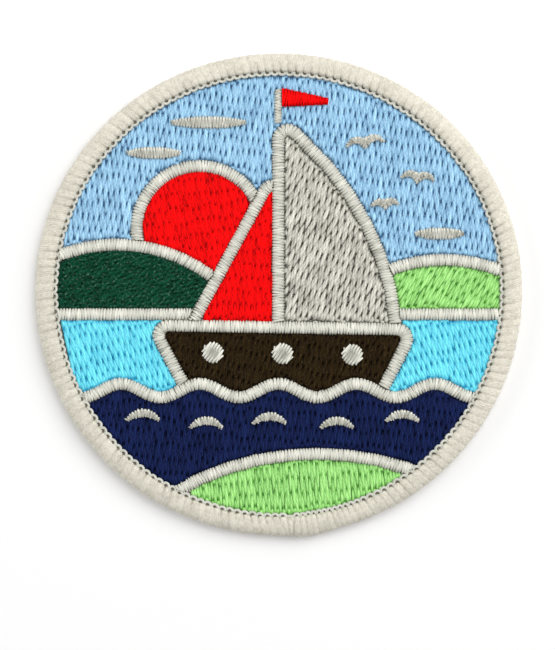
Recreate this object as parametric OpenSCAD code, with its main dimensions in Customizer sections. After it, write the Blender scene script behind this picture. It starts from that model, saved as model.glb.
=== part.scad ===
// Round embroidered patch: twill ground, filled areas, satin outlines and an
// overlocked border. It lies on its back with the picture up, +Y at the top of
// the picture, and its origin is under its middle at the surface it lies on.

/* [Patch] */
// Diameter over the border
patch_d = 76; // [50:1:120]
// Thickness of the twill ground
twill_t = 1; // [0.6:0.1:2]
// Gap left between neighbouring pieces
piece_gap = 0.05; // [0.02:0.01:0.1]

/* [Border] */
// Width of the border's round body
border_w = 2.9; // [2.2:0.1:4.5]
// Place of the body's crest across its width, from its inner side
crest_share = 0.38; // [0.3:0.02:0.6]
// Width of the row of loops along the body's inner side
loop_w = 0.9; // [0.5:0.1:1.5]
// Height of the row of loops over the filled areas
loop_rise = 0.15; // [0.05:0.05:0.4]
// Thickness of the wraps under the twill
wrap_under = 0.5; // [0.3:0.1:1]
// Height of the wraps over the filled areas
wrap_over = 0.7; // [0.4:0.1:1.5]
// Radius of the border's lower edges
under_r = 0.8; // [0.3:0.1:1]
// Depth of the twill's edge inside the border, from the rim
rim_depth = 1; // [0.6:0.1:1.6]
// Thickness that the overlapped ends add where the border closes
join_bulge = 0.45; // [0.15:0.05:0.75]
// Length of the overlap along the rim
join_l = 8; // [3:0.5:14]
// Direction of the overlap from the centre, in degrees from +X
join_at = 276; // [0:1:359]

/* [Embroidery] */
// Height of the filled areas over the twill
fill_t = 0.5; // [0.3:0.05:1]
// Width of the satin outlines
satin_w = 1.9; // [1:0.1:2.6]
// Height of the satin outlines over the twill
satin_t = 0.95; // [0.6:0.05:1.6]
// Height of the small satin motifs over the filled areas
motif_t = 0.5; // [0.2:0.05:0.9]
// Radius left at the filled areas' corners
corner_ease = 0.5; // [0.2:0.1:2]

/* [Hidden] */
twill_z = wrap_under;
stitch_z = twill_z + twill_t;
fill_top = stitch_z + fill_t;
border_t = fill_top + wrap_over;
patch_r = patch_d / 2;
body_inner_r = patch_r - border_w;
field_r = body_inner_r - loop_w;
half_satin = satin_w / 2;
clear_of_line = half_satin + piece_gap;
corner_r = clear_of_line + corner_ease;
far = 1.6 * field_r;

NAVY = [0.05, 0.07, 0.2];
LIGHT_BLUE = [0.55, 0.74, 0.89];
RED = [0.9, 0.05, 0.06];
GREY = [0.76, 0.75, 0.7];
LEAF_GREEN = [0.52, 0.8, 0.38];
PINE_GREEN = [0.07, 0.26, 0.18];
BROWN = [0.15, 0.1, 0.06];
CYAN = [0.36, 0.84, 0.93];
OFF_WHITE = [0.84, 0.83, 0.78];
CREAM = [0.87, 0.85, 0.78];

// The picture is drawn in shares of the field's radius.
// Columns of a round shape: centre across, centre up, radius
ROUND_SUN = [-0.36, 0.29, 0.29];
ROUND_FAR_HILL = [-0.74, -0.50, 0.72];
ROUND_NEAR_HILL = [0.76, -0.55, 0.70];
ROUND_SHORE = [0.18, -2.06, 1.32];
horizon_v = -0.10;

// Columns of a corner: across, up
JIB = [[0.02, 0.62], [-0.48, -0.30], [0.02, -0.30]];
HULL = [[-0.36, -0.56], [0.42, -0.56], [0.62, -0.17], [-0.58, -0.15]];
// The mainsail: head, clew and how far its trailing edge swells
SAIL_HEAD = [0, 0.80];
SAIL_CLEW = [0.56, -0.30];
sail_swell = 0.14;

// Columns of the wave: mean height, height of a crest, length of a wave
WAVE = [-0.45, 0.032, 0.36];

// Small motifs, one row each. Columns: across, up, length, tilt in degrees
GULLS = [[0.40, 0.68, 0.17, 8], [0.64, 0.52, 0.15, -6], [0.49, 0.40, 0.12, 4]];
CLOUDS = [[-0.32, 0.78, 0.34, 0], [-0.57, 0.64, 0.24, 0], [0.74, 0.27, 0.22, 0]];
WAVELETS = [
    [-0.62, -0.585, 0.15, 0],
    [-0.33, -0.62, 0.15, 0],
    [-0.04, -0.60, 0.15, 0],
    [0.27, -0.62, 0.15, 0],
    [0.57, -0.59, 0.15, 0]
];
MASTHEAD = [0, 0.855, 0.15, 90];
PENNANT = [0.125, 0.885, 0.21, -5];
// Columns of a porthole: across, up
PORTHOLES = [[-0.30, -0.275], [0.02, -0.28], [0.34, -0.285]];
porthole_share = 0.045;

// Widths of a stroke along its length, as shares of its full width
EVEN = [1, 1];
TAPERED = [0.35, 0.75, 1, 1, 1, 0.75, 0.35];
FLAG = [1, 0.78, 0.56, 0.34];
gull_w = 0.032;
cloud_w = 0.05;
wavelet_w = 0.034;
masthead_w = 0.03;
pennant_w = 0.085;
gull_lift = 0.3;
wavelet_sag = 0.22;

// Section of a satin stroke. Columns: share of half the width, share of the height
DOME = [[-1, 0], [-0.93, 0.45], [-0.6, 0.86], [0, 1], [0.6, 0.86], [0.93, 0.45], [1, 0]];

// Steps round a circle, along a wave, round a corner, along the swelling edge
// of the mainsail, over the border, round its lower edges and along its overlap
circle_steps = 60;
wave_steps = 10;
corner_steps = 4;
swell_steps = 8;
crown_steps = 12;
edge_steps = 3;
join_steps = 3;

function unit(v) = v / norm(v);
function left_of(v) = [-v[1], v[0]];
function reversed(path) = [for (i = [len(path) - 1 : -1 : 0]) path[i]];

// The vector at each point that moves a path to its left by one
function mitres(path, closed) = [
    for (i = [0 : len(path) - 1])
        let (
            n = len(path),
            first = !closed && i == 0,
            last = !closed && i == n - 1,
            before = first ? path[1] - path[0] : path[i] - path[(i + n - 1) % n],
            after = last ? before : path[(i + 1) % n] - path[i],
            a = left_of(unit(before)),
            m = unit(a + left_of(unit(after)))
        ) m / (m * a)
];

// A closed anticlockwise path moved outwards by grow
function grown(path, grow) =
    let (m = mitres(path, true)) [for (i = [0 : len(path) - 1]) path[i] - grow * m[i]];

// The arc that rounds the corner at b between a and c
function corner_arc(a, b, c) =
    let (
        u = unit(a - b),
        v = unit(c - b),
        half = acos(u * v) / 2,
        centre = b + unit(u + v) * corner_r / sin(half),
        from = b + u * corner_r / tan(half) - centre,
        turn = cross(u, v) < 0 ? 180 - 2 * half : 2 * half - 180
    ) [
        for (k = [0 : corner_steps])
            let (w = turn * k / corner_steps)
            centre + [from[0] * cos(w) - from[1] * sin(w), from[0] * sin(w) + from[1] * cos(w)]
    ];

function rounded(corners) = [
    for (i = [0 : len(corners) - 1])
        let (n = len(corners))
        each corner_arc(corners[(i + n - 1) % n], corners[i], corners[(i + 1) % n])
];

function round_path(shape) = [
    for (k = [0 : circle_steps - 1])
        let (w = 360 * k / circle_steps)
        field_r * [shape[0] + shape[2] * cos(w), shape[1] + shape[2] * sin(w)]
];

// The mainsail's outline. Its trailing edge is a parabola between head and clew
function sail_path() =
    let (
        chord = SAIL_CLEW - SAIL_HEAD,
        n = swell_steps,
        edge = [
            for (k = [0 : n])
                let (s = k / n)
                SAIL_HEAD + s * chord + 4 * s * (1 - s) * sail_swell * left_of(unit(chord))
        ],
        tack = [SAIL_HEAD[0], SAIL_CLEW[1]],
        head = corner_arc(field_r * tack, field_r * edge[0], field_r * edge[1]),
        middle = [for (k = [2 : n - 2]) field_r * edge[k]],
        clew = corner_arc(field_r * edge[n - 1], field_r * edge[n], field_r * tack),
        foot = corner_arc(field_r * edge[n], field_r * tack, field_r * edge[0])
    ) reversed(concat(head, middle, clew, foot));

// Everything below a line that runs from left to right, as a closed path
function below(line) = concat([[-far, -far], [far, -far]], reversed(line));

function wave_line() =
    let (
        length = WAVE[2] * field_r,
        reach = ceil(field_r / length) + 0.25,
        steps = 2 * reach * wave_steps
    ) [
        for (k = [0 : steps])
            let (w = k / wave_steps - reach)
            [w * length, field_r * (WAVE[0] + WAVE[1] * cos(360 * w))]
    ];

// The picture's shapes from the back to the front. Columns: name, and outline as a
// closed anticlockwise path. The sky lies behind them all and has no line of its own
SHAPES = [
    ["sky", []],
    ["sun", round_path(ROUND_SUN)],
    ["far_hill", round_path(ROUND_FAR_HILL)],
    ["near_hill", round_path(ROUND_NEAR_HILL)],
    ["sea", below([[-far, horizon_v * field_r], [far, horizon_v * field_r]])],
    ["jib", rounded(field_r * JIB)],
    ["mainsail", sail_path()],
    ["hull", rounded(field_r * HULL)],
    ["water", below(wave_line())],
    ["shore", round_path(ROUND_SHORE)]
];
function row_of(shape) = search([shape], SHAPES)[0];
function outline_of(shape) = SHAPES[row_of(shape)][1];

// A domed stroke along a path, with a width at each of its points
module stroke(path, widths, height, closed) {
    m = mitres(path, closed);
    n = len(path);
    k = len(DOME);
    points = [
        for (i = [0 : n - 1])
            for (d = DOME)
                let (p = path[i] - m[i] * d[0] * widths[i] / 2)
                [p[0], p[1], d[1] * height]
    ];
    sides = [
        for (i = [0 : closed ? n - 1 : n - 2])
            for (j = [0 : k - 1])
                let (i2 = (i + 1) % n, j2 = (j + 1) % k)
                [i * k + j, i2 * k + j, i2 * k + j2, i * k + j2]
    ];
    ends = closed ? [] : [
        [for (j = [0 : k - 1]) j],
        [for (j = [k - 1 : -1 : 0]) (n - 1) * k + j]
    ];
    polyhedron(points, concat(sides, ends));
}

module in_front_of(shape) {
    for (row = SHAPES)
        if (row_of(row[0]) > row_of(shape)) polygon(grown(row[1], clear_of_line));
}

// What shows of a shape inside its own line
module area(shape) {
    difference() {
        intersection() {
            circle(r = field_r - piece_gap, $fn = 96);
            if (shape != "sky") polygon(grown(outline_of(shape), -clear_of_line));
        }
        in_front_of(shape);
    }
}

module filled(shape) {
    translate([0, 0, stitch_z + piece_gap])
        linear_extrude(fill_t - piece_gap) area(shape);
}

// What shows of the satin line round a shape
module outline(shape) {
    path = outline_of(shape);
    translate([0, 0, stitch_z + piece_gap])
        difference() {
            intersection() {
                stroke(path, [for (p = path) satin_w], satin_t - piece_gap, true);
                cylinder(r = field_r - piece_gap, h = 2 * satin_t, $fn = 96);
            }
            translate([0, 0, -satin_t])
                linear_extrude(3 * satin_t) in_front_of(shape);
        }
}

// Keeps what stands on one shape's filled area, cut off where that area ends
module on_area(shape) {
    intersection() {
        translate([0, 0, fill_top + piece_gap]) children();
        translate([0, 0, fill_top]) linear_extrude(2 * motif_t) area(shape);
    }
}

// A small satin motif on a filled area. Its path rises by bend as a share of
// its length, in one arch or more
module motif(row, width, profile, shape, bend = 0, arches = 1) {
    parts = (len(profile) - 1) * arches;
    length = row[2] * field_r;
    path = [
        for (k = [0 : parts])
            let (s = k / parts, t = s == 1 ? 1 : arches * s - floor(arches * s))
            [(s - 0.5) * length, bend * length / arches * 4 * t * (1 - t)]
    ];
    widths = [
        for (k = [0 : parts])
            let (s = (len(profile) - 1) * k / parts, i = min(floor(s), len(profile) - 2))
            field_r * width * (profile[i] + (s - i) * (profile[i + 1] - profile[i]))
    ];
    on_area(shape)
        translate([row[0] * field_r, row[1] * field_r, 0])
            rotate(row[3]) stroke(path, widths, motif_t - piece_gap, false);
}

// The border's section over the rim: steep inside, round outside and pressed flat
// below. spread thickens it outwards and upwards
function border_section(spread) =
    let (
        mid_r = patch_r - border_w / 2,
        mid_z = border_t / 2,
        crown = [
            for (k = [0 : crown_steps])
                let (
                    w = 180 * k / crown_steps,
                    c = cos(w),
                    share = c > 0 ? 1 - crest_share : crest_share,
                    half_w = share * border_w + (c > 0 ? spread : 0),
                    fullness = c > 0 ? 1 : 0.75
                )
                [
                    body_inner_r + crest_share * border_w + half_w * sign(c) * pow(abs(c), fullness),
                    mid_z + (mid_z + spread) * pow(sin(w), fullness)
                ]
        ],
        under = [
            for (side = [-1, 1], k = [0 : edge_steps])
                let (
                    w = 90 * (side < 0 ? k : edge_steps - k) / edge_steps,
                    half_w = border_w / 2 + (side > 0 ? spread : 0)
                )
                [mid_r + side * (half_w - under_r * (1 - cos(w))), under_r * (1 - sin(w))]
        ]
    ) concat(crown, under);

// The row of loops is a low bead half sunk in the body's inner side
function loop_section() =
    [for (d = DOME) [body_inner_r + d[0] * loop_w, stitch_z + d[1] * (fill_t + loop_rise)]];

module merrow_border() color(CREAM) {
    difference() {
        union() {
            rotate_extrude($fn = 120) polygon(border_section(0));
            rotate_extrude($fn = 120) polygon(loop_section());
            for (k = [1 : join_steps])
                let (turn = (join_steps + 1 - k) / join_steps * join_l / patch_r * 180 / PI)
                rotate([0, 0, join_at - turn / 2])
                    rotate_extrude(angle = turn, $fn = 120)
                        polygon(border_section(join_bulge * k / join_steps));
        }
        translate([0, 0, twill_z - piece_gap])
            cylinder(r = patch_r - rim_depth + piece_gap, h = twill_t + 2 * piece_gap, $fn = 96);
    }
}

module twill_ground() color(OFF_WHITE)
    translate([0, 0, twill_z])
        cylinder(r = patch_r - rim_depth, h = twill_t, $fn = 96);

module sky_fill() color(LIGHT_BLUE) filled("sky");
module sun_fill() color(RED) filled("sun");
module far_hill_fill() color(PINE_GREEN) filled("far_hill");
module near_hill_fill() color(LEAF_GREEN) filled("near_hill");
module sea_fill() color(CYAN) filled("sea");
module jib_fill() color(RED) filled("jib");
module mainsail_fill() color(GREY) filled("mainsail");
module hull_fill() color(BROWN) filled("hull");
module water_fill() color(NAVY) filled("water");
module shore_fill() color(LEAF_GREEN) filled("shore");

module sun_outline() color(OFF_WHITE) outline("sun");
module far_hill_outline() color(OFF_WHITE) outline("far_hill");
module near_hill_outline() color(OFF_WHITE) outline("near_hill");
module horizon_outline() color(OFF_WHITE) outline("sea");
module jib_outline() color(OFF_WHITE) outline("jib");
module mainsail_outline() color(OFF_WHITE) outline("mainsail");
module hull_outline() color(OFF_WHITE) outline("hull");
module wave_outline() color(OFF_WHITE) outline("water");
module shore_outline() color(OFF_WHITE) outline("shore");

module masthead() color(OFF_WHITE) motif(MASTHEAD, masthead_w, EVEN, "sky");
module pennant() color(RED) motif(PENNANT, pennant_w, FLAG, "sky");
module gull(i) color(OFF_WHITE) motif(GULLS[i], gull_w, TAPERED, "sky", gull_lift, 2);
module cloud(i) color(OFF_WHITE) motif(CLOUDS[i], cloud_w, TAPERED, "sky");
module wavelet(i) color(OFF_WHITE) motif(WAVELETS[i], wavelet_w, TAPERED, "water", wavelet_sag);

module porthole(i) color(OFF_WHITE)
    on_area("hull")
        translate(field_r * PORTHOLES[i])
            rotate_extrude($fn = 48)
                polygon(concat([[0, 0]], [
                    for (d = reversed(DOME))
                        if (d[0] >= 0)
                            [d[0] * porthole_share * field_r, d[1] * (motif_t - piece_gap)]
                ]));

twill_ground();
merrow_border();
sky_fill();
sun_fill();
far_hill_fill();
near_hill_fill();
sea_fill();
jib_fill();
mainsail_fill();
hull_fill();
water_fill();
shore_fill();
sun_outline();
far_hill_outline();
near_hill_outline();
horizon_outline();
jib_outline();
mainsail_outline();
hull_outline();
wave_outline();
shore_outline();
masthead();
pennant();
for (i = [0 : len(GULLS) - 1])
    gull(i);
for (i = [0 : len(CLOUDS) - 1])
    cloud(i);
for (i = [0 : len(WAVELETS) - 1])
    wavelet(i);
for (i = [0 : len(PORTHOLES) - 1])
    porthole(i);
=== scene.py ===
import math

import bpy
import numpy as np
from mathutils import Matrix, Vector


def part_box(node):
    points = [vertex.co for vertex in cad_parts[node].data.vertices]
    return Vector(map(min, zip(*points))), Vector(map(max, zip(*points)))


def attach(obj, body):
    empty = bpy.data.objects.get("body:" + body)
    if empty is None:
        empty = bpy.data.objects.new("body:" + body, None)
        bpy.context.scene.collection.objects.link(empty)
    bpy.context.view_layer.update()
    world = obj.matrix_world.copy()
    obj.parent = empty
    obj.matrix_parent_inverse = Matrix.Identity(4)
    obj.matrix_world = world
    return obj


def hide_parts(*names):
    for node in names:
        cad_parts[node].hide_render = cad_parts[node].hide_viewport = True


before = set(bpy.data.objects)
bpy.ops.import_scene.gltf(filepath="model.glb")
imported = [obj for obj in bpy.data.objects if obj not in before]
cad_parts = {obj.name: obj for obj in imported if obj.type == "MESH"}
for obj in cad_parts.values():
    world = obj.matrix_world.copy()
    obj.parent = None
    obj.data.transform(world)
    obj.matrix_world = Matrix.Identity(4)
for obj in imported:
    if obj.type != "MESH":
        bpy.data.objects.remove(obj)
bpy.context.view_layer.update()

# The patch lies on a pale table and is looked at from straight above, as in the
# photograph, under a wide soft lamp from the upper right. Lengths are in mm here
# and below, and MM turns them into Blender's metres.
MM = 0.001
PHOTO_W = 555
PHOTO_H = 650
RIM_ACROSS_PX = 484.2
PATCH_MIDDLE_PX = (278.2, 292.5)
rim_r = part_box("merrow_border")[1].x / MM
border_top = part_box("merrow_border")[1].z / MM
px_per_mm = RIM_ACROSS_PX / (2 * rim_r)

eye_height = 600
eye = bpy.data.cameras.new("eye")
eye.sensor_fit = "VERTICAL"
eye.lens = eye.sensor_height * eye_height * px_per_mm / PHOTO_H
eye.clip_start = 10 * MM
eye_object = bpy.data.objects.new("eye", eye)
eye_object.location = (
    (PHOTO_W / 2 - PATCH_MIDDLE_PX[0]) / px_per_mm * MM,
    (PATCH_MIDDLE_PX[1] - PHOTO_H / 2) / px_per_mm * MM,
    (eye_height + border_top / 2) * MM,
)
bpy.context.collection.objects.link(eye_object)
bpy.context.scene.camera = eye_object
bpy.context.scene.view_settings.view_transform = "Standard"

# Columns: name, place, watts, side of the lamp
LAMPS = (
    ("key_lamp", (370, 440, 700), 6.2, 800),
    ("left_lamp", (-700, 40, 330), 1.9, 400),
    ("right_lamp", (700, 40, 330), 1.1, 400),
)
for lamp_name, place, watts, side in LAMPS:
    lamp = bpy.data.lights.new(lamp_name, "AREA")
    lamp.energy = watts
    lamp.size = side * MM
    lamp_object = bpy.data.objects.new(lamp_name, lamp)
    lamp_object.location = [x * MM for x in place]
    lamp_object.rotation_euler = lamp_object.location.to_track_quat("Z", "Y").to_euler()
    bpy.context.collection.objects.link(lamp_object)

room_light = 0.41
room = bpy.data.worlds.new("room")
room.use_nodes = True
room.node_tree.nodes["Background"].inputs["Color"].default_value = (1, 1, 1, 1)
room.node_tree.nodes["Background"].inputs["Strength"].default_value = room_light
bpy.context.scene.world = room


def wired(material, kind, settings=(), **inputs):
    """Adds one shader node. Each input is a value, or a socket that is linked to it,
    and is called by its name, or by in and its number where names repeat."""
    made = material.node_tree.nodes.new("ShaderNode" + kind)
    for name, value in dict(settings).items():
        setattr(made, name, value)
    for name, value in inputs.items():
        if name.startswith("in"):
            socket = made.inputs[int(name[2:])]
        else:
            socket = made.inputs[name.replace("_", " ")]
        if isinstance(value, bpy.types.NodeSocket):
            material.node_tree.links.new(value, socket)
        else:
            socket.default_value = value
    return made


def linear(red, green, blue):
    """The linear colour of an sRGB one given from 0 to 255."""
    share = np.array((red, green, blue)) / 255
    low = share / 12.92
    high = ((share + 0.055) / 1.055) ** 2.4
    return (*np.where(share <= 0.04045, low, high).tolist(), 1.0)


table_half = 3000
table_drop = 0.02
table_mesh = bpy.data.meshes.new("table")
table_mesh.from_pydata(
    [
        (x * table_half * MM, y * table_half * MM, -table_drop * MM)
        for x, y in ((-1, -1), (1, -1), (1, 1), (-1, 1))
    ],
    [],
    [(0, 1, 2, 3)],
)
table = bpy.data.objects.new("table", table_mesh)
bpy.context.collection.objects.link(table)
table_finish = bpy.data.materials.new("white_table")
table_finish.use_nodes = True
table_grain = wired(table_finish, "TexNoise", Scale=30.0, Detail=2.0)
table_tone = wired(table_finish, "ValToRGB", Fac=table_grain.outputs["Fac"])
table_tone.color_ramp.elements[0].color = (0.94, 0.94, 0.94, 1)
table_tone.color_ramp.elements[1].color = (0.97, 0.97, 0.97, 1)
table_shader = table_finish.node_tree.nodes["Principled BSDF"]
table_finish.node_tree.links.new(table_tone.outputs["Color"], table_shader.inputs["Base Color"])
table_shader.inputs["Roughness"].default_value = 0.8
table_mesh.materials.append(table_finish)

# The twill ground is a disc of off-white twill, cut to a circle, that everything
# is stitched on. Its edge is wrapped by the border, and only its back shows.
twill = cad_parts["twill_ground"]
twill_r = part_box("twill_ground")[1].x / MM
rib_pitch = 0.55
rib_lean = math.radians(63)
weft_lean = math.radians(90)
weft_relief = 0.35
# A wave texture of this scale repeats once a unit
once_a_unit = 0.314
twill_finish = bpy.data.materials.new("twill_cloth")
twill_finish.use_nodes = True
twill_place = wired(twill_finish, "TexCoord")
twill_ribs = wired(
    twill_finish, "Mapping", Vector=twill_place.outputs["Object"],
    Rotation=(0, 0, rib_lean), Scale=(1 / (rib_pitch * MM),) * 3,
)
twill_rib_wave = wired(
    twill_finish, "TexWave", Vector=twill_ribs.outputs["Vector"],
    Scale=once_a_unit, Distortion=0.6, Detail=2.0, Detail_Scale=0.8,
)
twill_weft = wired(
    twill_finish, "Mapping", Vector=twill_place.outputs["Object"],
    Rotation=(0, 0, weft_lean), Scale=(2 / (rib_pitch * MM),) * 3,
)
twill_weft_wave = wired(
    twill_finish, "TexWave", Vector=twill_weft.outputs["Vector"], Scale=once_a_unit, Distortion=0.4,
)
twill_relief = wired(
    twill_finish, "Math", {"operation": "MULTIPLY_ADD"},
    in0=twill_weft_wave.outputs["Fac"], in1=weft_relief, in2=twill_rib_wave.outputs["Fac"],
)
twill_bump = wired(
    twill_finish, "Bump", Height=twill_relief.outputs["Value"], Strength=0.8, Distance=0.1 * MM,
)
twill_tone = wired(twill_finish, "ValToRGB", Fac=twill_relief.outputs["Value"])
twill_tone.color_ramp.elements[0].color = linear(176, 174, 160)
twill_tone.color_ramp.elements[1].color = linear(226, 224, 212)
twill_shader = twill_finish.node_tree.nodes["Principled BSDF"]
twill_finish.node_tree.links.new(twill_tone.outputs["Color"], twill_shader.inputs["Base Color"])
twill_finish.node_tree.links.new(twill_bump.outputs["Normal"], twill_shader.inputs["Normal"])
twill_shader.inputs["Roughness"].default_value = 0.85
twill_shader.inputs["Sheen Weight"].default_value = 0.2
twill.data.materials.clear()
twill.data.materials.append(twill_finish)

# The filled areas are tatami: side by side rows of rayon thread, each row a line
# of stitches that dive into the twill at their ends. The rows are stitched in
# turn, half a stitch apart, over a sparse underlay, which shows between them and
# is painted dark there for the shade between the rows.
strand_half_high = 0.15
shortest_stitch = 0.45
deepest_foot = 0.03
# How far a row runs on beyond the area's rim, to end under a raised line
END_REACH = (0.05, 0.36)
# A stitch sinks, narrows and flattens towards its needle points, which pull it more or
# less tightly, and is painted darker there for the shade in the needle holes. It is
# widest at its middle. Widths are shares of the rows' pitch.
NEEDLE_PULL = (0.6, 1.2)
dive_reach = 0.45
dive_depth = 0.38
taper_reach = 1.1
taper_share = 0.38
taper_dark = 0.3
flatten_share = 0.25
bulge_reach = 0.8
bulge_share = 0.07
# Scatter of the needle points, and of each stitch's bow, slant, height and width
needle_scatter = 0.45
bow_scatter = 0.035
slant_scatter = 0.03
height_scatter = 0.010
plump_scatter = 0.05
# The areas' outer edge lies under the border's row of loops, and the border is guided
# by hand: it is shifted a little, oval and three-cornered
field_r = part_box("sky_fill")[1].y / MM
field_tolerance = 0.03
loop_edge_r = 34.38
under_loops = 0.2
border_shift_x = 0.1
border_shift_y = -0.18
border_oval = 0.2
border_three_cornered = 0.12
chance = np.random.default_rng(4)


def drift(turn):
    """How far the border lies outwards of its circle at a turn t round the patch:
    shift_x cos(t) + shift_y sin(t) + oval cos(2t) + three_cornered sin(3t)."""
    shift = border_shift_x * np.cos(turn) + border_shift_y * np.sin(turn)
    return shift + border_oval * np.cos(2 * turn) + border_three_cornered * np.sin(3 * turn)


def out_to_the_loops(rim):
    """A rim whose corners on the edge of the embroidered field are moved along their
    radius until they lie under the border's loops."""
    reach = np.hypot(rim[..., 0], rim[..., 1])
    turn = np.arctan2(rim[..., 1], rim[..., 0])
    moved = (loop_edge_r + under_loops + drift(turn)) / reach
    return rim * np.where(reach > field_r - field_tolerance, moved, 1)[..., None]


def corners_and_triangles(node):
    """A node's corners in mm with doubled ones merged, and its triangles, without
    those that the merging folds up."""
    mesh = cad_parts[node].data
    mesh.calc_loop_triangles()
    places = np.empty(3 * len(mesh.vertices))
    mesh.vertices.foreach_get("co", places)
    triangles = np.empty(3 * len(mesh.loop_triangles), np.int64)
    mesh.loop_triangles.foreach_get("vertices", triangles)
    places = places.reshape(-1, 3) / MM
    _, first, same = np.unique(np.round(places, 3), axis=0, return_index=True, return_inverse=True)
    triangles = same.ravel()[triangles].reshape(-1, 3)
    whole = (
        (triangles[:, 0] != triangles[:, 1])
        & (triangles[:, 1] != triangles[:, 2])
        & (triangles[:, 2] != triangles[:, 0])
    )
    return places[first], triangles[whole]


def sides_of(triangles):
    """The three sides of each triangle, as pairs of corners."""
    return np.concatenate([triangles[:, [0, 1]], triangles[:, [1, 2]], triangles[:, [2, 0]]])


def rim_of(node):
    """The sides of the area that a node covers, seen from above: the edges that only
    one of its upward triangles has. Returned as (sides, 2 ends, 2)."""
    upright = 1e-7
    places, triangles = corners_and_triangles(node)
    a, b, c = (places[triangles[:, k], :2] for k in range(3))
    facing = (b - a)[:, 0] * (c - a)[:, 1] - (b - a)[:, 1] * (c - a)[:, 0]
    sides = sides_of(triangles[facing > upright])
    _, first, times = np.unique(np.sort(sides, axis=1), axis=0, return_index=True, return_counts=True)
    return places[sides[first[times == 1]]][:, :, :2]


def unit(vectors):
    """Vectors of length 1 with the same directions."""
    return vectors / np.linalg.norm(vectors, axis=-1, keepdims=True)


def square_to(paths, across):
    """Unit vectors square to the run of the paths and to the vectors across."""
    return unit(np.cross(np.gradient(paths, axis=1), across))


def strands(paths, across, wide, high, shades, sides=6):
    """Closed tubes of thread. paths holds points (strands, stations, 3), and each ring
    round a point is an ellipse: wide is its half width along the unit vector across,
    and high its half height, square to the path. u runs along a strand in mm, and v
    from 0 to 1 round it."""
    count, stations, _ = paths.shape
    up = square_to(paths, across)
    turn = 2 * np.pi * (np.arange(sides) + 0.5) / sides
    rings = (
        paths[:, :, None]
        + (wide[..., None] * np.cos(turn))[..., None] * across[:, :, None]
        + (high[..., None] * np.sin(turn))[..., None] * up[:, :, None]
    )
    index = np.arange(count * stations * sides).reshape(count, stations, sides)
    beside = np.roll(index, -1, axis=2)
    quads = np.stack([index[:, :-1], beside[:, :-1], beside[:, 1:], index[:, 1:]], axis=-1)
    step = np.linalg.norm(np.diff(paths, axis=1), axis=2)
    run = np.concatenate([np.zeros((count, 1)), np.cumsum(step, axis=1)], axis=1)
    u = np.broadcast_to(run[:, :, None], index.shape)
    v = np.broadcast_to(np.arange(sides) / sides, index.shape)
    quad_u = np.stack([u[:, :-1], u[:, :-1], u[:, 1:], u[:, 1:]], axis=-1)
    quad_v = np.stack([v[:, :-1], v[:, :-1] + 1 / sides, v[:, 1:] + 1 / sides, v[:, 1:]], axis=-1)
    caps = np.concatenate([index[:, 0, ::-1], index[:, -1]])
    return (
        rings.reshape(-1, 3),
        np.broadcast_to(shades[:, :, None], index.shape).ravel(),
        [
            (quads.reshape(-1, 4), np.stack([quad_u, quad_v], axis=-1).reshape(-1, 4, 2), True),
            (caps, np.zeros((*caps.shape, 2)), True),
        ],
    )


def core(node, squash, sink, dark, pale):
    """A node's own solid pressed down to lie under its stitches: its heights are taken
    times squash and lowered by sink, though to no more than deepest_foot below its foot,
    and its painted shade runs from dark at the foot, for the shade between the stitches,
    to pale at its top."""
    places, triangles = corners_and_triangles(node)
    foot, crest = places[:, 2].min(), places[:, 2].max()
    shades = dark + (pale - dark) * (places[:, 2] - foot) / (crest - foot)
    low = np.maximum(foot + (places[:, 2] - foot) * squash - sink, foot - deepest_foot)
    places = np.column_stack([places[:, :2], low])
    return places, shades, [(triangles, places[triangles][:, :, :2], False)]


def sew(name, parts, finish, nodes):
    """Joins parts into one piece on body root and hides the given nodes, if any."""
    places, shades, corners, uvs, sizes, smooth = [], [], [], [], [], []
    base = 0
    for part_places, part_shades, groups in parts:
        for faces, face_uvs, is_smooth in groups:
            corners.append((faces + base).ravel())
            uvs.append(face_uvs.reshape(-1, 2))
            sizes.append(np.full(len(faces), faces.shape[1]))
            smooth.append(np.full(len(faces), is_smooth))
        places.append(part_places)
        shades.append(part_shades)
        base += len(part_places)
    corners, sizes = np.concatenate(corners), np.concatenate(sizes)
    mesh = bpy.data.meshes.new(name)
    mesh.vertices.add(base)
    mesh.vertices.foreach_set("co", (np.concatenate(places) * MM).ravel())
    mesh.loops.add(len(corners))
    mesh.loops.foreach_set("vertex_index", corners)
    mesh.polygons.add(len(sizes))
    mesh.polygons.foreach_set("loop_start", np.cumsum(sizes) - sizes)
    mesh.polygons.foreach_set("use_smooth", np.concatenate(smooth))
    mesh.uv_layers.new(name="thread").data.foreach_set("uv", np.concatenate(uvs).ravel())
    mesh.attributes.new("shade", "FLOAT", "POINT").data.foreach_set("value", np.concatenate(shades))
    mesh.update(calc_edges=True)
    mesh.materials.append(finish)
    piece = bpy.data.objects.new(name, mesh)
    bpy.context.collection.objects.link(piece)
    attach(piece, "root")
    if nodes:
        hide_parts(*nodes)


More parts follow.
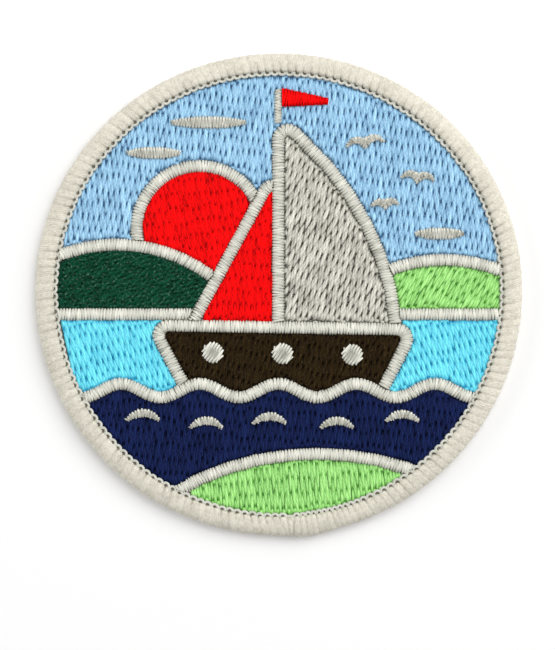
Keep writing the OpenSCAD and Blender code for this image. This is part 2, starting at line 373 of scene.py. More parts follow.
def tatami(node, lean, pitch, stitch_l, unevenness, fullness, dive, dark):
    """Rows of stitches over a node's area. Each row is a line at the angle lean, cut
    where it crosses the area's rim (an even-odd rule) and at the needle points, which
    stand half a stitch further on in every second row. Towards its two ends a stitch
    sinks and narrows, in proportion to dive, and is painted darker for the shade in the
    needle hole, in proportion to dark, each by pull * exp(-(distance from the
    end / reach)^2) with a random pull for each needle point. Sinking reaches at most a
    quarter of the stitch, and narrowing a third. Its half width elsewhere is fullness
    times the pitch of the rows, and more at its middle, where it bulges into the needle
    holes beside it."""
    rim = out_to_the_loops(rim_of(node))
    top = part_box(node)[1].z / MM
    lean = math.radians(lean)
    along = np.array((math.cos(lean), math.sin(lean)))
    aside = np.array((-math.sin(lean), math.cos(lean)))
    u, v = rim @ along, rim @ aside
    rows = pitch * (np.arange(math.ceil(v.min() / pitch), math.floor(v.max() / pitch)) + 0.5)
    crossed = (v[:, 0] <= rows[:, None]) != (v[:, 1] <= rows[:, None])
    rise = np.where(v[:, 1] == v[:, 0], 1, v[:, 1] - v[:, 0])
    cuts = u[:, 0] + (rows[:, None] - v[:, 0]) * (u[:, 1] - u[:, 0]) / rise
    cuts = np.sort(np.where(crossed, cuts, np.inf), axis=1)
    cuts = cuts[:, : 2 * (crossed.sum(axis=1).max() // 2)]
    row, pair = np.nonzero(np.isfinite(cuts[:, 1::2]))
    starts, ends = cuts[row, 2 * pair], cuts[row, 2 * pair + 1]
    starts = starts - chance.uniform(*END_REACH, len(row))
    ends = ends + chance.uniform(*END_REACH, len(row))
    steps = np.arange(math.floor(u.min() / stitch_l) - 1, math.ceil(u.max() / stitch_l) + 2)
    needle = stitch_l * (steps + 0.5 * (np.arange(len(rows)) % 2)[:, None])
    needle += chance.uniform(-needle_scatter, needle_scatter, needle.shape)
    pull = chance.uniform(*NEEDLE_PULL, needle.shape)
    low = np.maximum(starts[:, None], needle[row, :-1])
    high = np.minimum(ends[:, None], needle[row, 1:])
    run, step = np.nonzero(high - low > shortest_stitch)
    low, high, row = low[run, step], high[run, step], row[run]
    length = (high - low)[:, None]
    # Stations along a stitch, closer together where it dives
    share = np.array((0, 0.035, 0.09, 0.19, 0.36, 0.5, 0.64, 0.81, 0.91, 0.965, 1))
    from_end = np.minimum(share, 1 - share) * length
    pulled = np.where(share < 0.5, pull[row, step][:, None], pull[row, step + 1][:, None])
    sunk = pulled * np.exp(-((from_end / np.minimum(dive_reach, length / 4)) ** 2))
    narrow = pulled * np.exp(-((from_end / np.minimum(taper_reach, length / 3)) ** 2))
    bulging = bulge_share * np.exp(-(((share - 0.5) * length / bulge_reach) ** 2))
    bow = chance.normal(0, bow_scatter, length.shape) * np.sin(np.pi * share)
    slant = chance.normal(0, slant_scatter, length.shape) * (2 * share - 1)
    place_u = low[:, None] + share * length
    place_v = rows[row][:, None] + bow + slant
    lift = chance.normal(0, height_scatter, length.shape)
    plump = 1 + chance.normal(0, plump_scatter, length.shape)
    place_z = top - strand_half_high + lift - dive_depth * dive * sunk
    paths = np.concatenate([
        place_u[..., None] * along + place_v[..., None] * aside, place_z[..., None],
    ], axis=2)
    across = np.broadcast_to(np.array((*aside, 0)), paths.shape)
    # Each stitch's random tone, less painted shade towards its needle points
    shades = 1 + chance.normal(0, unevenness, length.shape) - dark * (sunk + taper_dark * narrow)
    return strands(
        paths, across, pitch * plump * (fullness + bulging - taper_share * dive * narrow),
        strand_half_high * (1 - flatten_share * dive * narrow), shades,
    )


PLIES = 4
ply_relief = 0.35
patchiness = 0.12


def thread_finish(name, lit, painted_shade_colour, fleck, shine, fuzz, fibre, rough=0.42, twist=1.8, ply_shade=0.15):
    """Thread whose colour runs from a painted shade colour, which stands for the shade deep
    between strands, to lit by each strand's shade, which holds both random tone and painted
    shade. Noise drawn out along the strand shades its fibres by up to fibre, and a wave that
    winds along and round it with the pitch twist, in mm, paints its plies lighter on their
    ridges and darker in their grooves by ply_shade and raises their ridges. Loose fibre ends
    of the colour fleck, more with more fuzz, are sprinkled over it."""
    finish = bpy.data.materials.new(name)
    finish.use_nodes = True
    shade = wired(finish, "Attribute", {"attribute_name": "shade"})
    place = wired(finish, "TexCoord")
    cloud = wired(finish, "TexNoise", Vector=place.outputs["Object"], Scale=700.0, Detail=3.0)
    patchy = wired(
        finish, "MapRange", Value=cloud.outputs["Fac"],
        From_Min=0.25, From_Max=0.75, To_Min=-patchiness, To_Max=patchiness,
    )
    uv = wired(finish, "UVMap")
    drawn_out = wired(finish, "Mapping", Vector=uv.outputs["UV"], Scale=(1.7, 7.0, 1))
    fibres = wired(
        finish, "TexNoise", {"noise_dimensions": "2D"},
        Vector=drawn_out.outputs["Vector"], Scale=1.0, Detail=4.0, Roughness=0.65,
    )
    streaky = wired(
        finish, "MapRange", Value=fibres.outputs["Fac"],
        From_Min=0.25, From_Max=0.75, To_Min=-fibre, To_Max=fibre,
    )
    along_and_round = wired(finish, "SeparateXYZ", Vector=uv.outputs["UV"])
    wound = wired(
        finish, "Math", {"operation": "MULTIPLY"},
        in0=along_and_round.outputs["X"], in1=math.tau / twist,
    )
    round_it = wired(
        finish, "Math", {"operation": "MULTIPLY_ADD"},
        in0=along_and_round.outputs["Y"], in1=PLIES * math.tau, in2=wound.outputs["Value"],
    )
    ridges = wired(finish, "Math", {"operation": "SINE"}, in0=round_it.outputs["Value"])
    toned = wired(
        finish, "Math", {"operation": "MULTIPLY_ADD"},
        in0=ridges.outputs["Value"], in1=ply_shade, in2=shade.outputs["Fac"],
    )
    for part in (patchy, streaky):
        toned = wired(
            finish, "Math", {"operation": "ADD"},
            in0=toned.outputs["Value"], in1=part.outputs["Result"],
        )
    toned = wired(finish, "Math", {"operation": "MAXIMUM"}, in0=toned.outputs["Value"], in1=0.0)
    mixed = wired(
        finish, "Mix", {"data_type": "RGBA", "clamp_factor": False},
        in0=toned.outputs["Value"], in6=linear(*painted_shade_colour), in7=linear(*lit),
    )
    sprinkled = wired(
        finish, "TexNoise", Vector=place.outputs["Object"], Scale=2600.0, Detail=2.0, Roughness=0.7,
    )
    flecks = wired(
        finish, "MapRange", Value=sprinkled.outputs["Fac"],
        From_Min=0.56, From_Max=0.74, To_Min=0.0, To_Max=fuzz,
    )
    flecked = wired(
        finish, "Mix", {"data_type": "RGBA"},
        in0=flecks.outputs["Result"], in6=mixed.outputs[2], in7=linear(*fleck),
    )
    relief = wired(
        finish, "Math", {"operation": "MULTIPLY_ADD"},
        in0=ridges.outputs["Value"], in1=ply_relief, in2=fibres.outputs["Fac"],
    )
    bump = wired(finish, "Bump", Height=relief.outputs["Value"], Strength=0.6, Distance=0.04 * MM)
    shader = finish.node_tree.nodes["Principled BSDF"]
    finish.node_tree.links.new(flecked.outputs[2], shader.inputs["Base Color"])
    finish.node_tree.links.new(bump.outputs["Normal"], shader.inputs["Normal"])
    shader.inputs["Roughness"].default_value = rough
    shader.inputs["Specular IOR Level"].default_value = shine
    return finish


# Columns: slot, name of the finish, lit colour, painted shade colour that stands for the
# shade deep between strands, colour of the loose fibre ends, shine, fuzz, fibre
YARNS = (
    ("light_blue_thread", "light_blue_rayon",
     (157, 204, 235), (56, 108, 152), (205, 235, 250), 0.25, 0.4, 0.45),
    ("red_thread", "red_rayon",
     (248, 7, 9), (130, 1, 2), (240, 22, 24), 0.04, 0.3, 0.6),
    ("pine_green_thread", "pine_green_rayon",
     (13, 68, 47), (2, 32, 20), (110, 142, 126), 0.04, 0.7, 0.8),
    ("leaf_green_thread", "leaf_green_rayon",
     (163, 228, 129), (64, 144, 30), (205, 247, 180), 0.25, 0.4, 0.45),
    ("cyan_thread", "cyan_rayon",
     (110, 228, 246), (34, 158, 202), (170, 245, 252), 0.25, 0.4, 0.45),
    ("grey_thread", "warm_grey_rayon",
     (205, 203, 191), (50, 44, 34), (235, 232, 220), 0.25, 0.4, 0.45),
    ("brown_thread", "brown_rayon",
     (41, 30, 12), (9, 4, 1), (88, 74, 52), 0.04, 0.5, 0.9),
    ("navy_thread", "navy_rayon",
     (20, 32, 75), (3, 6, 26), (40, 56, 106), 0.04, 0.4, 0.9),
    ("off_white_thread", "off_white_rayon",
     (218, 217, 205), (92, 90, 78), (240, 240, 232), 0.25, 0.4, 0.3),
)
THREADS = {slot: thread_finish(*row) for slot, *row in YARNS}
# Columns: node, slot, angle of the rows, their pitch, stitch length, unevenness,
# fullness, dive, painted shade at the needle points
FILLS = (
    ("sky_fill", "light_blue_thread", 83, 0.44, 4.2, 0.13, 0.76, 0.85, 0.85),
    ("sun_fill", "red_thread", 97, 0.44, 4.2, 0.13, 0.68, 0.04, 0.34),
    ("far_hill_fill", "pine_green_thread", 32, 0.34, 2.1, 0.18, 0.74, 0.25, 0.5),
    ("near_hill_fill", "leaf_green_thread", 60, 0.44, 4.2, 0.12, 0.60, 0.4, 0.65),
    ("sea_fill", "cyan_thread", 103, 0.44, 4.2, 0.10, 0.72, 0.45, 0.85),
    ("jib_fill", "red_thread", 88, 0.44, 4.2, 0.13, 0.68, 0.04, 0.34),
    ("mainsail_fill", "grey_thread", 68, 0.44, 4.0, 0.13, 0.78, 1.1, 0.9),
    ("hull_fill", "brown_thread", 74, 0.42, 4.2, 0.14, 0.66, 0.25, 0.7),
    ("water_fill", "navy_thread", 86, 0.43, 4.2, 0.14, 0.66, 0.25, 0.7),
    ("shore_fill", "leaf_green_thread", 94, 0.44, 4.2, 0.12, 0.60, 0.4, 0.47),
)
for node, slot, *stitching in FILLS:
    # The underlay is painted dark all over, for the shade between the rows
    underlay = core(node, squash=0.2, sink=0, dark=0.1, pale=0.1)
    sew(
        node.replace("_fill", "_stitches"), [underlay, tatami(node, *stitching)],
        THREADS[slot], [node],
    )

# The raised lines and small motifs are satin stitch: one strand beside the next,
# each laid straight across the line from edge to edge over a padded core, so that
# it arches. The machine goes to and fro, which leans them a little in turn.
tooth_pitch = 0.46
satin_half_wide = 0.17
satin_half_high = 0.09
satin_lean = tooth_pitch / 5
satin_foot = 0.08
arch_power = 2.6
# Stations along a strand, from -1 to 1, closer together towards its ends
swing = np.sin(np.linspace(-np.pi / 2, np.pi / 2, 8))
# Strands go on past the end of a crest by spare_end, as far as the area does. None
# reaches further to a side than furthest_aside or spans less than shortest_span, and a
# motif's arch is at least least_width wide
spare_end = 1.2
furthest_aside = 1.6
shortest_span = 0.3
least_width = 0.4
look_ahead = 0.35
# How far an end falls short of the area's edge or passes it, how much it narrows, and
# the scatter of each strand's height, slant, place and shade
furthest_short = 0.1
furthest_past = 0.16
END_TAPER = (0.2, 0.5)
satin_height_scatter = 0.024
satin_slant_scatter = 0.03
satin_place_scatter = 0.025
satin_unevenness = 0.13
# Painted sheen: a strand that lies from left to right is painted duller than one that lies
# to and from the lamp, and the small motifs' middles are painted duller than their shoulders,
# which get a painted highlight; the ends of all strands are painted darker for the shade
# where they dive
turned_painted_dull = 0.12
motif_painted_dull = 0.36
shoulder_gain = 0.9
shoulder_at = 0.8
shoulder_reach = 0.2
end_dark = 0.28


def crest_of(node):
    """The crest of a domed node as runs of points: the edges that join corners at
    its greatest height, chained end to end."""
    same_height = 2e-3
    places, triangles = corners_and_triangles(node)
    on_crest = places[:, 2] > places[:, 2].max() - same_height
    sides = sides_of(triangles)
    sides = np.unique(np.sort(sides[on_crest[sides].all(axis=1)], axis=1), axis=0)
    joined = {}
    for a, b in sides.tolist():
        joined.setdefault(a, []).append(b)
        joined.setdefault(b, []).append(a)
    runs = []
    while joined:
        here = min(joined, key=lambda corner: (len(joined[corner]), corner))
        run = [here]
        while joined.get(here):
            there = joined[here].pop()
            joined[there].remove(here)
            if not joined[here]:
                del joined[here]
            run.append(there)
            here = there
        joined.pop(here, None)
        runs.append(places[run][:, :2])
    return [run for run in runs if len(run) > 1]


def spaced(run, pitch, extra):
    """Points and unit directions at even steps along a run of points, which is first
    lengthened straight on at its ends by extra. A direction is that from look_ahead
    behind the point to as far ahead of it."""
    first = run[0] + unit(run[0] - run[1]) * extra
    last = run[-1] + unit(run[-1] - run[-2]) * extra
    run = np.concatenate([[first], run, [last]])
    reach = np.concatenate([[0], np.cumsum(np.linalg.norm(np.diff(run, axis=0), axis=1))])

    def at(distance):
        return np.stack([np.interp(distance, reach, run[:, k]) for k in (0, 1)], axis=1)

    steps = np.arange(pitch / 2, reach[-1], pitch)
    return at(steps), unit(at(steps + look_ahead) - at(steps - look_ahead))


def across_area(centres, across, rim):
    """Where straight lines through centres cross an area: for each, the stretch inside
    the rim that holds its centre, or else the nearest one, cut off at furthest_aside,
    and whether it is long enough for a strand. A stretch that isn't counts as lying
    far_away, so that a longer one is taken if there is any."""
    parallel = 1e-9
    far_away = 10
    edge = rim[:, 1] - rim[:, 0]
    to_edge = rim[None, :, 0] - centres[:, None]
    turn = across[:, None, 0] * edge[:, 1] - across[:, None, 1] * edge[:, 0]
    turn = np.where(np.abs(turn) < parallel, parallel, turn)
    t = (to_edge[..., 0] * edge[:, 1] - to_edge[..., 1] * edge[:, 0]) / turn
    s = (to_edge[..., 0] * across[:, None, 1] - to_edge[..., 1] * across[:, None, 0]) / turn
    t = np.sort(np.where((s >= 0) & (s < 1), t, np.inf), axis=1)
    t = t[:, : 2 * (t.shape[1] // 2)]
    low = np.clip(t[:, 0::2], -furthest_aside, furthest_aside)
    high = np.where(np.isfinite(t[:, 1::2]), t[:, 1::2], -np.inf)
    high = np.clip(high, -furthest_aside, furthest_aside)
    too_short = high - low < shortest_span
    best = np.argmin(np.maximum(low, -high) + far_away * too_short, axis=1)
    row = np.arange(len(best))
    low, high = low[row, best], high[row, best]
    return low, high, high - low > shortest_span


def arched(base, crest, foot, bend):
    """How far an arched strand rises from its foot, bend being 0 at its middle and 1 at
    its ends: (crest - base - foot - its own half height) * (1 - bend^arch_power)^0.5."""
    return (crest - base - foot - satin_half_high) * (1 - bend**arch_power) ** 0.5


def painted_gleam(bend, painted_dull):
    """The painted change of shade along an arched strand: painted_dull * (gain * exp(-((bend -
    place of the shoulder) / its reach)^2) - (1 - bend^3)), for a middle painted dull and a
    painted highlight on the shoulders, less (end_dark - painted_dull / 2) * bend^8,
    for painted shade on the ends that dive."""
    shoulder = shoulder_gain * np.exp(-(((bend - shoulder_at) / shoulder_reach) ** 2))
    return painted_dull * (shoulder - (1 - bend**3)) - (end_dark - 0.5 * painted_dull) * bend**8


def in_turn(count):
    """A column of -1 and 1 in turn, for strands that are laid to and fro."""
    return np.where(np.arange(count) % 2, 1, -1)[:, None]


def satin(node, half=None, painted_dull=0.0):
    """Strands across the crest of a domed node, each arched from edge to edge. A line's
    arch is as wide as its half width says, wherever its strand ends, and a motif's as
    wide as the area. The thread runs to and fro, so two strands meet at each needle
    point and the edges show a row of teeth. A strand's middle is painted duller than its
    shoulders, which get a painted highlight, by more with more painted_dull."""
    low_corner, high_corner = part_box(node)
    base, crest = low_corner.z / MM, high_corner.z / MM
    rim = out_to_the_loops(rim_of(node))
    parts = []
    for run in crest_of(node):
        centres, ahead = spaced(run, tooth_pitch / 2, spare_end)
        aside = np.stack([-ahead[:, 1], ahead[:, 0]], axis=1)
        low, high, kept = across_area(centres, aside, rim)
        centres, ahead, aside, low, high = (x[kept] for x in (centres, ahead, aside, low, high))
        count = len(centres)
        if count == 0:
            continue
        to_and_fro = in_turn(count) * satin_lean
        reach = np.full(count, half) if half else np.maximum(high - low, least_width) / 2
        middle = np.zeros(count) if half else (high + low) / 2
        low = low + chance.uniform(-furthest_past, furthest_short, count)
        high = high + chance.uniform(-furthest_short, furthest_past, count)
        t = (low + high)[:, None] / 2 + swing * (high - low)[:, None] / 2
        off = (t - middle[:, None]) / reach[:, None]
        bend = np.clip(np.abs(off), 0, 1)
        lift = chance.normal(0, satin_height_scatter, (count, 1))
        z = base + satin_foot + lift + arched(base, crest, satin_foot, bend)
        slant = chance.normal(0, satin_slant_scatter, (count, 1)) * off
        along = to_and_fro * off + slant + chance.normal(0, satin_place_scatter, (count, 1))
        flat = centres[:, None] + t[..., None] * aside[:, None] + along[..., None] * ahead[:, None]
        paths = np.concatenate([flat, z[..., None]], axis=2)
        side = np.zeros_like(paths)
        side[..., :2] = -ahead[:, None]
        wide = satin_half_wide * (1 - chance.uniform(*END_TAPER, (count, 1)) * bend**5)
        # Random tone, less painted sheen for strands that lie from left to right, then the painted dull
        # middle, shoulder highlights and end shade
        shades = 1 + chance.normal(0, satin_unevenness, (count, 1)) - turned_painted_dull * np.abs(aside[:, :1])
        shades = shades + painted_gleam(bend, painted_dull)
        parts.append(strands(paths, side, wide, np.full(z.shape, satin_half_high), shades))
    return parts


LINES = (
    "sun_outline", "far_hill_outline", "near_hill_outline", "horizon_outline", "jib_outline",
    "mainsail_outline", "hull_outline", "wave_outline", "shore_outline",
)
line_half = 0.95
for node in LINES:
    # The padding is painted dark at its foot, for the shade between the teeth, and paler at its top
    padding = core(node, squash=0.95, sink=0.24, dark=0.3, pale=0.7)
    sew(
        node.replace("_outline", "_line"), [padding, *satin(node, half=line_half)],
        THREADS["off_white_thread"], [node],
    )

# A motif's padding is painted dark at its foot, for the shade between the teeth, and paler at its top
MOTIF_CORE = {"squash": 0.9, "sink": 0.2, "dark": 0.3, "pale": 0.6}
motif_nodes = sorted(
    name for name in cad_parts
    if name.split("_")[0] in ("masthead", "pennant", "gull", "cloud", "wavelet")
)
for node in motif_nodes:
    slot = "red_thread" if node == "pennant" else "off_white_thread"
    # The off-white motifs but the masthead get a painted dull middle and painted highlights on their
    # shoulders
    painted_dull = 0 if node in ("pennant", "masthead") else motif_painted_dull
    sew(
        node + "_satin", [core(node, **MOTIF_CORE), *satin(node, painted_dull=painted_dull)],
        THREADS[slot], [node],
    )

# A porthole is a small satin dot: parallel strands laid across a round core, each
# as long as the circle is wide there. It is stitched on the hull in off-white thread.
dot_tilt = math.radians(55)
dot_aside = np.array((math.cos(dot_tilt), math.sin(dot_tilt), 0))
dot_over = np.array((-math.sin(dot_tilt), math.cos(dot_tilt), 0))
dot_lean = tooth_pitch / 4
dot_margin = 0.08
dot_overhang = 0.1
dot_foot = 0.05
dot_unevenness = 0.1
dot_painted_dull = 0.5
for node in sorted(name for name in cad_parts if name.startswith("porthole")):
    low_corner, high_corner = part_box(node)
    dot_middle = np.array((low_corner.x + high_corner.x, low_corner.y + high_corner.y)) / 2 / MM
    dot_r = (high_corner.x - low_corner.x) / 2 / MM
    base, crest = low_corner.z / MM, high_corner.z / MM
    offsets = np.arange(-dot_r + dot_margin, dot_r, tooth_pitch / 2)
    half = np.sqrt(dot_r**2 - offsets**2) + chance.uniform(0, dot_overhang, len(offsets))
    t = swing * half[:, None]
    distance = np.minimum(np.hypot(offsets[:, None], t) / dot_r, 1)
    to_and_fro = in_turn(len(offsets)) * dot_lean
    paths = (offsets[:, None] + to_and_fro * swing)[..., None] * dot_over + t[..., None] * dot_aside
    paths[..., :2] += dot_middle
    paths[..., 2] = base + dot_foot + arched(base, crest, dot_foot, distance)
    # Random tone, with a painted dull middle, painted highlights on the shoulders and painted shade at the
    # ends
    shades = 1 + chance.normal(0, dot_unevenness, (len(offsets), 1)) + painted_gleam(distance, dot_painted_dull)
    dot = strands(
        paths, np.broadcast_to(dot_over, paths.shape), np.full(t.shape, satin_half_wide),
        np.full(t.shape, satin_half_high), shades,
    )
    sew(
        node + "_satin", [core(node, **MOTIF_CORE), dot],
        THREADS["off_white_thread"], [node],
    )

# The overlocked border is soft, bulky cream yarn that an overlock machine wraps over
# the twill's edge, side by side all round. The wraps part most along the loops, and
# the ends of the seam overlap in one short bulge, just after a missed loop.
WRAPS = 187
corners_a_wrap = 12
border_w = 2.9
border_mid_z = 1.35
crest_share = 0.31
inner_power = 0.45
under_r = 0.8
inner_r = rim_r - border_w
crest_r = inner_r + crest_share * border_w
twill_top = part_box("twill_ground")[1].z / MM
slot_gap = 0.05
slot_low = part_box("twill_ground")[0].z / MM - slot_gap
slot_high = twill_top + slot_gap
slot_r = twill_r + slot_gap
upper_lip = 0.05
lower_lip = 0.1
under_swell = 0.3
bulge_at = math.radians(277)
bulge_h = 0.45
bulge_half_l = 3.4
missed_at = math.radians(273.2)
missed_half_l = 0.62
# The machine starts and ends with shorter steps, so the wraps are crowded just past
# the bulge
crowded_by = 0.42
crowded_past = 3.5
crowded_half_l = 5.5
# The wraps lean along the rim, by turns more and less, in wraps from the outside to
# the inside, and fan out on both sides of the missed loop
wrap_lean = 0.4
lean_wave = 0.12
lean_waves = 3
lean_wave_start = 1
fan_lean = 0.7
fan_turn_l = 1.1
fan_fade_l = 5
# Two wraps part in a groove, deeper at both ends of a wrap. Some partings open into a
# crease that runs outwards from a needle hole. Two more creases run outwards from the
# missed loop and close in on each other.
PARTED = (0.2, 1.0)
parting_depth = 0.035
inner_parting = 0.08
outer_parting = 0.1
OPENED = (0.5, 0.35)
OPENED_REACH = (0.5, 1.2)
opened_depth = 0.14
crease_depth = 0.13
crease_half_w = 0.17
crease_outer_share = 0.35
PUFF = (0.02, 0.02)
# The yarn's tone and its random scatter from wrap to wrap, and how much painted shade
# darkens the inner side, the outer side, the partings, the opened partings and the creases
wrap_tone = 1.01
wrap_tone_scatter = 0.03
inner_dark = 0.2
outer_dark = 0.06
parting_dark = 0.08
opened_dark = 0.5
crease_dark = 0.25


def arch(w):
    """Points (r, z) of the border's top at the turns w, from 0 outside to pi inside:
    r = crest's radius + half * sign(cos w) * |cos w|^power, and z = middle height *
    (1 + |sin w|^power). The power is 1 outside the crest, which gives an ellipse, and
    inner_power inside it, which gives a fuller, nearly square shoulder."""
    outside = np.cos(w) > 0
    power = np.where(outside, 1, inner_power)
    half = np.where(outside, rim_r - crest_r, crest_r - inner_r)
    r = crest_r + half * np.sign(np.cos(w)) * np.abs(np.cos(w)) ** power
    return np.stack([r, border_mid_z * (1 + np.abs(np.sin(w)) ** power)], axis=-1)


def from_turn(angle, middle):
    """Distance in mm along the rim from the turn middle, from -half to +half the rim."""
    return (np.mod(angle - middle + np.pi, 2 * np.pi) - np.pi) * rim_r


def at_turn(r, turn, z):
    """Points at the radius r, the turn round the patch and the height z."""
    return np.stack(np.broadcast_arrays(r * np.cos(turn), r * np.sin(turn), z), axis=-1)


def ring_faces(shape):
    """Quads of a closed section that is carried round the patch and meets itself again,
    for a grid of corners of this shape: (steps round, points of the section)."""
    index = np.arange(math.prod(shape)).reshape(shape)
    after = np.roll(index, -1, axis=0)
    quads = np.stack([index, after, np.roll(after, -1, axis=1), np.roll(index, -1, axis=1)], axis=-1)
    return quads.reshape(-1, 4)


# The section: over the top, round the slot for the twill's edge, and the underside
top_turns = np.radians([0, 12, 24, 36, 48, 60, 72, 84, 96, 112, 128, 142, 154, 164, 172])
slot_corners = [
    (inner_r + upper_lip, slot_high), (slot_r, slot_high), (slot_r, slot_low),
    (inner_r + lower_lip, slot_low),
]
turn_in = np.radians(np.linspace(26, 90, 4))
turn_out = np.radians(np.linspace(90, 0, 5))
section = np.concatenate([
    arch(top_turns),
    slot_corners,
    np.stack([inner_r + under_r * (1 - np.cos(turn_in)), under_r * (1 - np.sin(turn_in))], axis=1),
    np.stack([rim_r - under_r * (1 - np.cos(turn_out)), under_r * (1 - np.sin(turn_out))], axis=1),
])
# How much of the relief each point of the section takes, and of the drift, which the
# far corners of the slot don't follow, as they stay round the twill's edge
swell = np.concatenate([
    np.ones(len(top_turns)), np.zeros(len(slot_corners)), np.full(len(turn_in), under_swell),
    np.linspace(under_swell, 1, len(turn_out)),
])
drifts = np.where(section[:, 0] == slot_r, 0, 1)
inwardness = np.clip((rim_r - section[:, 0]) / border_w, 0, 1)
beyond = np.roll(section, -1, axis=0) - np.roll(section, 1, axis=0)
outward = unit(np.stack([beyond[:, 1], -beyond[:, 0]], axis=1))

angle = 2 * np.pi * np.arange(WRAPS * corners_a_wrap) / (WRAPS * corners_a_wrap)
past_bulge = from_turn(angle, bulge_at)
past_missed = from_turn(angle, missed_at)
crowding = 1 + crowded_by * np.exp(-((past_bulge - crowded_past) / crowded_half_l) ** 4)
wrap_at = WRAPS * np.cumsum(crowding) / crowding.sum()
bulge = np.exp(-((past_bulge / bulge_half_l) ** 2))
fan = -fan_lean * np.tanh(past_missed / fan_turn_l) * np.exp(-np.abs(past_missed) / fan_fade_l)
lean = wrap_lean + lean_wave * np.sin(lean_waves * angle + lean_wave_start) + fan
# The phase counts the wraps round the rim, and off_middle runs from 0 at a wrap's
# middle to 1 where it meets the next
phase = wrap_at[:, None] + lean[:, None] * inwardness
wrap = np.floor(phase).astype(int) % WRAPS
off_middle = np.abs(2 * (phase - np.floor(phase)) - 1)
parting_here = np.rint(phase).astype(int) % WRAPS
opened = np.clip(chance.normal(*OPENED, WRAPS), 0, 1)[parting_here]
reaches = chance.uniform(*OPENED_REACH, WRAPS)[parting_here]
parted = chance.uniform(*PARTED, WRAPS)[parting_here]
opened = opened * np.clip(1 - (1 - inwardness) / reaches, 0, 1) * off_middle ** (7 - 3 * inwardness)
outer_side = (1 - inwardness) ** 4
grooved = parting_depth * parted + inner_parting * inwardness**2.5 + outer_parting * outer_side
parting = grooved * off_middle**4 + opened_depth * opened
puff = chance.normal(*PUFF, WRAPS)[wrap] * (1 - off_middle**2)
crease_l = missed_half_l * (crease_outer_share + (1 - crease_outer_share) * inwardness)
crease = np.exp(-(((np.abs(past_missed[:, None]) - crease_l) / crease_half_w) ** 2))
relief = (puff - parting - crease_depth * crease) * swell
r = section[:, 0] + relief * outward[:, 0]
r += drifts * drift(angle)[:, None] + (1 - inwardness) ** 2 * bulge_h * bulge[:, None]
z = section[:, 1] + relief * outward[:, 1]
z += bulge_h * bulge[:, None] * np.clip(section[:, 1] / border_mid_z - 1, 0, 1)
step = np.linalg.norm(np.roll(section, -1, axis=0) - section, axis=1)
u = np.broadcast_to(np.cumsum(step) - step, phase.shape)
next_phase = phase + 1 / corners_a_wrap
corner_uv = np.stack([
    np.stack([u, phase], axis=-1), np.stack([u, next_phase], axis=-1),
    np.stack([u + step, next_phase], axis=-1), np.stack([u + step, phase], axis=-1),
], axis=2)
tone_and_painted_shade = wrap_tone + chance.normal(0, wrap_tone_scatter, WRAPS)[wrap]
# Painted shade where the wraps meet: towards the inner side, in the partings, on the outer side, in the
# opened partings and in the creases
tone_and_painted_shade = tone_and_painted_shade - inner_dark * inwardness**3 * off_middle**4
tone_and_painted_shade -= (
    (parting_dark * parted + outer_dark * outer_side) * off_middle**4
    + opened_dark * opened + crease_dark * crease
)
wraps = (
    at_turn(r, angle[:, None], np.maximum(z, 0)).reshape(-1, 3), tone_and_painted_shade.ravel(),
    [(ring_faces(phase.shape), corner_uv.reshape(-1, 4, 2), True)],
)

# The seam's chain is white looper thread and lies in a row of small loops along the
# wraps' inner side. Each loop comes out from under the wraps, turns round a needle
# hole and goes back, and one of them was missed.
loop_half_wide = 0.24
loop_half_high = 0.22
loop_in_r = loop_edge_r + loop_half_wide
loop_tuck = 0.25
loop_out_r = inner_r + loop_tuck
loop_lift = 0.6
# Share of its wrap's stretch that a loop takes to each side, and the power that rounds
# its turn
loop_half_span = 0.45
loop_roundness = 0.65
missed_within = 0.6
missed_depth = 0.45
loop_depth_scatter = 0.03
loop_lift_scatter = 0.02
loop_tone = 1.08
loop_unevenness = 0.05
turns = np.concatenate([angle - 2 * np.pi, angle, angle + 2 * np.pi])
all_phases = np.concatenate([wrap_at - WRAPS, wrap_at, wrap_at + WRAPS])
holes_at = np.ceil(wrap_at[0]) + 0.5 + np.arange(WRAPS)
hole_turn = np.interp(holes_at, all_phases, turns)
span = np.interp(holes_at + 0.5, all_phases, turns) - np.interp(holes_at - 0.5, all_phases, turns)
missed = np.abs(from_turn(hole_turn, missed_at)) < missed_within
depth = np.where(missed, missed_depth, 1)[:, None] * (loop_out_r - loop_in_r)
psi = np.linspace(-np.pi / 2, np.pi / 2, 10)
loop_r = loop_out_r - depth * np.cos(psi) ** loop_roundness
loop_r = loop_r + chance.normal(0, loop_depth_scatter, (WRAPS, 1))
loop_turn = hole_turn[:, None] + loop_half_span * span[:, None] * np.sin(psi)
loop_r += drift(loop_turn)
loop_z = twill_top + loop_lift + chance.normal(0, loop_lift_scatter, (WRAPS, 1))
loop_paths = at_turn(loop_r, loop_turn, loop_z)
loops = strands(
    loop_paths, square_to(loop_paths, np.array((0, 0, 1.0))), np.full(loop_r.shape, loop_half_wide),
    np.full(loop_r.shape, loop_half_high),
    loop_tone + chance.normal(0, loop_unevenness, (WRAPS, 1)),
)
loop_finish = thread_finish(
    "white_looper_thread", lit=(203, 203, 193), painted_shade_colour=(96, 94, 84), fleck=(232, 232, 226),
    shine=0.1, fuzz=0.3, fibre=0.2,
)
sew("seam_loops", [loops], loop_finish, [])
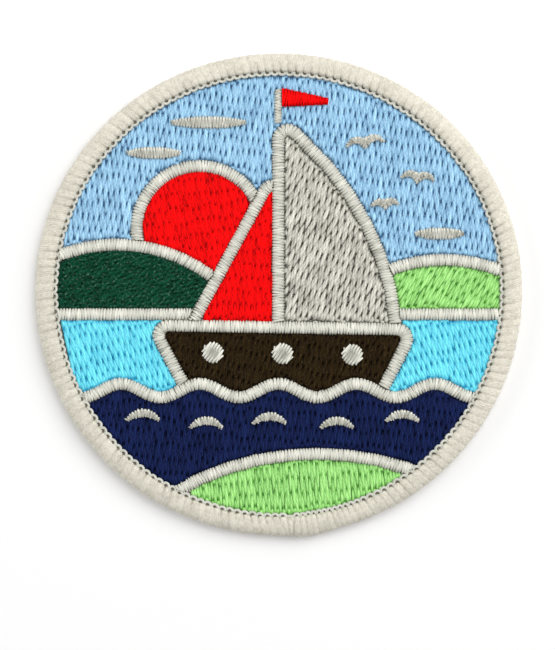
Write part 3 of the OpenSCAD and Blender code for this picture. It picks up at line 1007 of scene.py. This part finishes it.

# A ring in the yarn's finish, painted dark for the shade in the needle holes, lies over
# the ground under the loops and rises towards the wraps, and loose fibres of the cream
# yarn stand a little off the wraps. Both make one piece with the wraps.
floor_tuck = 0.3
floor_out_r = inner_r + floor_tuck
floor_low = 0.02
floor_high = 0.5
floor_at_loops = 0.2
floor_painted_shade = 0.3
floor_steps = 360
floor_turn = np.linspace(0, 2 * np.pi, floor_steps + 1)[:-1, None]
floor_section = np.array([
    (field_r, floor_low), (floor_out_r, floor_low), (floor_out_r, floor_high), (loop_in_r, floor_at_loops),
])
floor_places = at_turn(
    floor_section[:, 0] + drift(floor_turn), floor_turn, twill_top + floor_section[:, 1],
)
floor_faces = ring_faces(floor_places.shape[:2])
painted_hole_shade = (
    floor_places.reshape(-1, 3), np.full(len(floor_places) * len(floor_section), floor_painted_shade),
    [(floor_faces, np.zeros((*floor_faces.shape, 2)), True)],
)

# A fibre starts at a turn round the patch and at a turn w of the arch, runs from there
# mostly along its wrap, and bows out by a part of a sine
HAIRS = 1400
HAIR_START = (0.1, 2.6)
ARCH_SPAN = (0.02, 3.0)
HAIR_BOW = (0.02, 0.3)
hair_reach = 0.5
hair_slant = 0.012
hair_lift = 0.02
hair_fall = 0.8
hair_half = 0.016
hair_taper = 0.6
hair_upward = 0.5
hair_shade = 1.1
along_hair = np.linspace(0, 1, 5)
start_turn = chance.uniform(0, 2 * np.pi, HAIRS)[:, None]
start_w = chance.uniform(*HAIR_START, HAIRS)[:, None]
hair_w = start_w + chance.uniform(-hair_reach, hair_reach, (HAIRS, 1)) * along_hair
hair_turn = start_turn + chance.normal(0, hair_slant, (HAIRS, 1)) * along_hair**1.5
hair_off = hair_lift + chance.uniform(*HAIR_BOW, (HAIRS, 1)) * np.sin(np.pi * along_hair * hair_fall)
on_arch = arch(np.clip(hair_w, *ARCH_SPAN))
off_arch = on_arch + hair_off[..., None] * unit(on_arch - np.array((crest_r, border_mid_z)))
hair_paths = at_turn(off_arch[..., 0] + drift(start_turn), hair_turn, off_arch[..., 1])
hair_thin = np.broadcast_to(hair_half * (1 - hair_taper * along_hair), hair_off.shape)
hairs = strands(
    hair_paths, square_to(hair_paths, at_turn(1, start_turn, hair_upward)), hair_thin, hair_thin,
    np.full(hair_off.shape, hair_shade), sides=3,
)
border_finish = thread_finish(
    "cream_overlock_yarn", lit=(220, 215, 200), painted_shade_colour=(120, 114, 98), fleck=(238, 236, 228),
    shine=0.12, fuzz=0.3, fibre=0.3, rough=0.75, twist=6.0, ply_shade=0.03,
)
sew(
    "overlocked_border", [wraps, painted_hole_shade, hairs], border_finish, ["merrow_border"],
)
